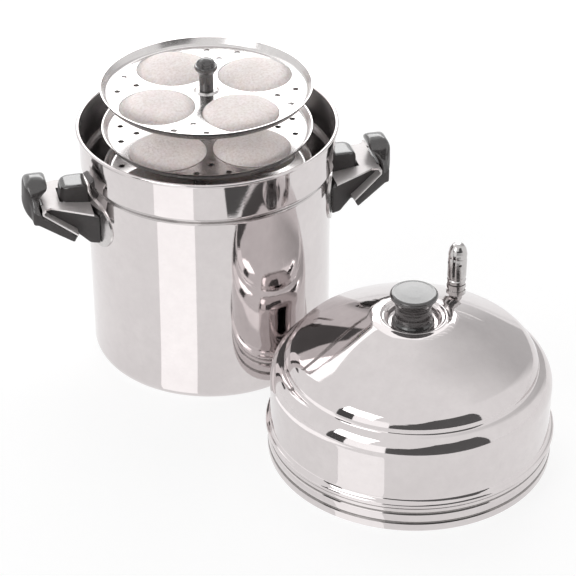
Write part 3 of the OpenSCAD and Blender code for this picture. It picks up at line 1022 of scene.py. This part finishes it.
def on_floor(right: Array, near: Array, lift: float, centre: Pair = (0, 0)) -> Array:
    """Places points over the floor.

    Args:
        right: How far each is to the picture's right of the centre, in mm.
        near: How far each is from the centre towards the camera, in mm.
        lift: Height over the floor in mm.
        centre: X and Y of the centre, in mm.

    Returns:
        Their places in metres.
    """
    turn = math.radians(HEADING)
    x = centre[0] + right * math.cos(turn) - near * math.sin(turn)
    y = centre[1] - right * math.sin(turn) - near * math.cos(turn)
    return np.stack([x, y, np.full_like(x, lift)], axis=-1) * MM


@dataclass(frozen=True)
class Lamp:
    """A rectangular lamp that points at the object's middle and that mirrors may show."""

    name: str
    azimuth: float
    elevation: float
    size: Pair
    radiance: float
    distance: float = 2.1
    mirrored: bool = True

    def build(self) -> None:
        """Adds the lamp, whose power is its radiance times pi times its area."""
        data = bpy.data.lights.new(self.name, "AREA")
        data.shape = "RECTANGLE"
        data.size, data.size_y = self.size
        data.energy = self.radiance * math.pi * self.size[0] * self.size[1]
        lamp = linked(self.name, data)
        lamp.location = seen_from(self.azimuth, self.elevation, self.distance)
        back = lamp.location - MIDDLE
        lamp.rotation_euler = back.to_track_quat("Z", "Y").to_euler()
        lamp.visible_glossy = self.mirrored


@dataclass(frozen=True)
class Card:
    """A board that only mirrors show.

    Its level is how bright it looks. It fades to 1 over the share soft at its two sides
    and the share soft_top below its upper edge, or over the last row of points where only
    one of the two is given. Only mirrors between the distances seen_within, in metres,
    show it, or all where these are 0.
    """

    name: str
    level: float
    soft: float = 0.0
    soft_top: float = 0.0
    seen_within: Pair = (0.0, 0.0)
    least_soft: float = 0.001

    def points(self) -> Array:
        """Grid of its points, in metres."""
        raise NotImplementedError

    def build(self) -> None:
        """Adds the board to the stage."""
        grid = self.points()
        rows, columns = grid.shape[:2]
        mesh = bpy.data.meshes.new(self.name)
        quads = grid_faces(rows, columns, False, False)
        mesh.from_pydata(grid.reshape(-1, 3), [], quads.tolist())
        u, v = np.meshgrid(np.linspace(0, 1, columns), np.linspace(0, 1, rows))
        full = np.clip(np.minimum(u, 1 - u) / max(self.soft, self.least_soft), 0, 1)
        full *= np.clip((1 - v) / max(self.soft_top, self.least_soft), 0, 1)
        shade = mesh.attributes.new("full", "FLOAT", "POINT")
        shade.data.foreach_set("value", full.ravel())
        board = linked(self.name, mesh)
        mesh.materials.append(self.glow())
        board.visible_camera = False
        board.visible_diffuse = False
        board.visible_shadow = False
        board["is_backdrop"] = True

    def glow(self) -> Material:
        """Makes the board's material."""
        material = bpy.data.materials.new(self.name)
        tree = cleared(material)
        out = tree.add("OutputMaterial")
        glow = tree.add("Emission", in_Strength=self.level)
        if self.soft or self.soft_top:
            full = tree.add("Attribute", attribute_name="full").outputs["Fac"]
            tree.join(tree.stretch(full, (0, 1), (1, self.level)), glow.inputs["Strength"])
        shown = glow.outputs[0]
        if self.seen_within[1]:
            way = tree.add("LightPath").outputs["Ray Length"]
            near = tree.math("LESS_THAN", way, self.seen_within[0])
            far = tree.math("GREATER_THAN", way, self.seen_within[1])
            clear = tree.add("BsdfTransparent").outputs[0]
            shown = tree.mix(tree.math("MAXIMUM", near, far), shown, clear)
        tree.join(shown, out.inputs["Surface"])
        return material


@dataclass(frozen=True)
class Board(Card):
    """A curved board round the object.

    Each edge is an elevation and the two azimuths of the board's sides there, from the
    lowest to the highest.
    """

    edges: tuple[Triple, ...] = ()
    distance: float = 2.6
    steps: tuple[int, int] = (21, 33)

    def points(self) -> Array:
        """Points at one distance, spread evenly over both angles."""
        level, first, last = np.array(self.edges).T
        rows = []
        for e in np.linspace(level[0], level[-1], self.steps[0]):
            sides = np.interp(e, level, first), np.interp(e, level, last)
            turns = np.linspace(*sides, self.steps[1])
            rows.append([seen_from(a, e, self.distance) for a in turns])
        return np.array(rows)


@dataclass(frozen=True)
class FloorPatch(Card):
    """A flat board on the floor, between two distances to the right and two towards the camera."""

    right: Pair = (130.0, 440.0)
    near: Pair = (425.0, 620.0)

    def points(self) -> Array:
        """Points of the rectangle, just above the floor."""
        spans = np.meshgrid(np.linspace(*self.right, 5), np.linspace(*self.near, 5))
        return on_floor(*spans, 0.5)


@dataclass(frozen=True)
class FloorFan(Card):
    """A board on the floor, where an upright round wall mirrors it as a straight band.

    Formula: a wall of radius R mirrors from its azimuth p the floor along
    R (sin p, cos p) + d (sin 2p, cos 2p), where d runs outward.
    """

    centre: Pair = (0.0, 0.0)
    wall_r: float = 115.0
    azimuths: Pair = (-28.0, -7.0)
    reach: float = 370.0

    def points(self) -> Array:
        """Points of the fan, just above the floor."""
        p = np.radians(np.linspace(*self.azimuths, 17))[:, None]
        d = np.linspace(2, self.reach, 9)[None, :]
        right = self.wall_r * np.sin(p) + d * np.sin(2 * p)
        near = self.wall_r * np.cos(p) + d * np.cos(2 * p)
        return on_floor(right, near, 0.4, self.centre)


@dataclass
class Studio:
    """Camera, pale floor, soft lamps and the boards that the steel mirrors.

    The world's light falls from horizon_level to world_level over horizon_span, which is
    the height of its direction. The floor's tones are its colour in the light that it
    throws back, its colour where it is seen, and the glow added there.
    """

    lid_centre: Pair
    eye: Triple = (-0.3329, -1.6571, 1.1468)
    pitch: float = 32.9
    lens: float = 128.67
    world_level: float = 0.08
    horizon_level: float = 5.7
    horizon_span: Pair = (0.12, 0.4)
    floor_size: float = 8.0
    floor_drop: float = 0.3
    floor_tones: Triple = (0.8, 0.26, 0.8)
    lamps: tuple[Lamp, ...] = (
        Lamp("key", -45, 39, (1.0, 0.95), 2.4),
        Lamp("back_strip", 180, 33, (1.9, 0.55), 2.7),
        Lamp("back_panel", 180, 59, (1.7, 1.15), 1.7, mirrored=False),
    )

    def cards(self) -> list[Card]:
        """Boards that give the steel its bands: dark in front, white to the front left."""
        return [
            Board("front_right", 0.12, edges=(
                (-8, -17, 57), (23, -17, 57), (28, 2, 57), (34, 12, 57), (41, 22, 56))),
            Board("front_left", 0.09, edges=((-8, -63, -48), (34, -63, -48))),
            Board("window_low", 1.38, edges=((-8, -48, -17), (27, -48, -17))),
            Board("right_shade", 0.62, soft=0.3, soft_top=0.7,
                  edges=((2, 118, 166), (45, 98, 158), (88, 60, 160))),
            Board("back_white", 1.42, soft=0.08, edges=(
                (14, 148, 213), (36, 147, 207), (44, 139, 202), (60, 138, 201), (66, 141, 198))),
            Board("window_back", 1.75, edges=((33, 198, 239), (50.5, 198, 239))),
            FloorPatch("dark_front", 0.1, seen_within=(0.4, 9.0)),
            FloorFan("fan_pot", 1.42, azimuths=(-23.5, -5.5), reach=450.0),
            FloorFan("fan_lid", 1.25, seen_within=(0.0, 0.21), centre=self.lid_centre,
                     wall_r=126.8, azimuths=(-31.7, -12.0), reach=150.0),
        ]

    def build(self) -> None:
        """Adds everything that isn't part of the object."""
        scene = bpy.context.scene
        data = bpy.data.cameras.new("camera")
        data.lens = self.lens
        data.sensor_width = 36
        camera = linked("camera", data)
        camera.location = self.eye
        camera.rotation_euler = (math.radians(90 - self.pitch), 0, math.radians(-HEADING))
        scene.camera = camera
        scene.view_settings.view_transform = "Standard"
        self.floor()
        self.world()
        for thing in (*self.lamps, *self.cards()):
            thing.build()

    @staticmethod
    def seen_directly(tree: Tree) -> Socket:
        """Returns 1 where a ray comes from the camera, a mirror or through glass."""
        path = tree.add("LightPath")
        seen = tree.math("MAXIMUM", path.outputs["Is Camera Ray"], path.outputs["Is Glossy Ray"])
        return tree.math("MAXIMUM", seen, path.outputs["Is Transmission Ray"])

    def floor(self) -> None:
        """Makes the floor, which looks white and keeps the object's shadow."""
        mesh = bpy.data.meshes.new("floor")
        corners = np.array([[-1, -1, 0], [1, -1, 0], [1, 1, 0], [-1, 1, 0]]) * self.floor_size
        corners[:, 2] = -self.floor_drop * MM
        mesh.from_pydata(corners, [], [(0, 1, 2, 3)])
        floor = linked("floor", mesh)
        material = bpy.data.materials.new("floor_white")
        tree = cleared(material)
        out = tree.add("OutputMaterial")
        thrown, shown, added = self.floor_tones
        plain = tree.add("BsdfDiffuse", in_Color=(thrown, thrown, thrown, 1))
        catch = tree.add("BsdfDiffuse", in_Color=(shown, shown, shown, 1))
        glow = tree.add("Emission", in_Strength=added)
        both = tree.add("AddShader")
        tree.join(catch.outputs[0], both.inputs[0])
        tree.join(glow.outputs[0], both.inputs[1])
        mixed = tree.mix(self.seen_directly(tree), plain.outputs[0], both.outputs[0])
        tree.join(mixed, out.inputs["Surface"])
        mesh.materials.append(material)
        floor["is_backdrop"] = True

    def world(self) -> None:
        """Lights the scene evenly and shows white behind it."""
        world = bpy.data.worlds.new("studio")
        bpy.context.scene.world = world
        tree = cleared(world)
        out = tree.add("OutputWorld")
        light = tree.add("Background")
        place = tree.add("TexCoord")
        split = tree.add("SeparateXYZ")
        tree.join(place.outputs["Generated"], split.inputs[0])
        levels = (self.horizon_level, self.world_level)
        level = tree.stretch(split.outputs[2], self.horizon_span, levels)
        tree.join(level, light.inputs["Strength"])
        white = tree.add("Background", in_Strength=1.0)
        for node in (light, white):
            node.inputs["Color"].default_value = (1, 1, 1, 1)
        mixed = tree.mix(self.seen_directly(tree), light.outputs[0], white.outputs[0])
        tree.join(mixed, out.inputs["Surface"])


def main() -> None:
    """Loads the frame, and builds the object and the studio."""
    logging.basicConfig(level=logging.INFO, format="%(message)s")
    for thing in list(bpy.data.objects):
        bpy.data.objects.remove(thing)
    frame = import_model()
    cad_box = tuple(v.copy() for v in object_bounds())
    for group in (build_turned_lines, build_handled_marks, build_crumb):
        group()
    maker = Builder(frame["nodes"])
    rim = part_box("pot_body")[1] / MM
    hem_low, hem_high = (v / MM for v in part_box("lid_shell"))
    centre = ((hem_low.x + hem_high.x) / 2, (hem_low.y + hem_high.y) / 2)
    for part in (Pot(height=rim.z, rim_r=rim.x), Rack(), Lid(centre=centre)):
        part.build(maker)
    Studio(lid_centre=centre).build()
    LOG.info("%d pieces made", len(maker.made))


if __name__ == "__main__":
    main()
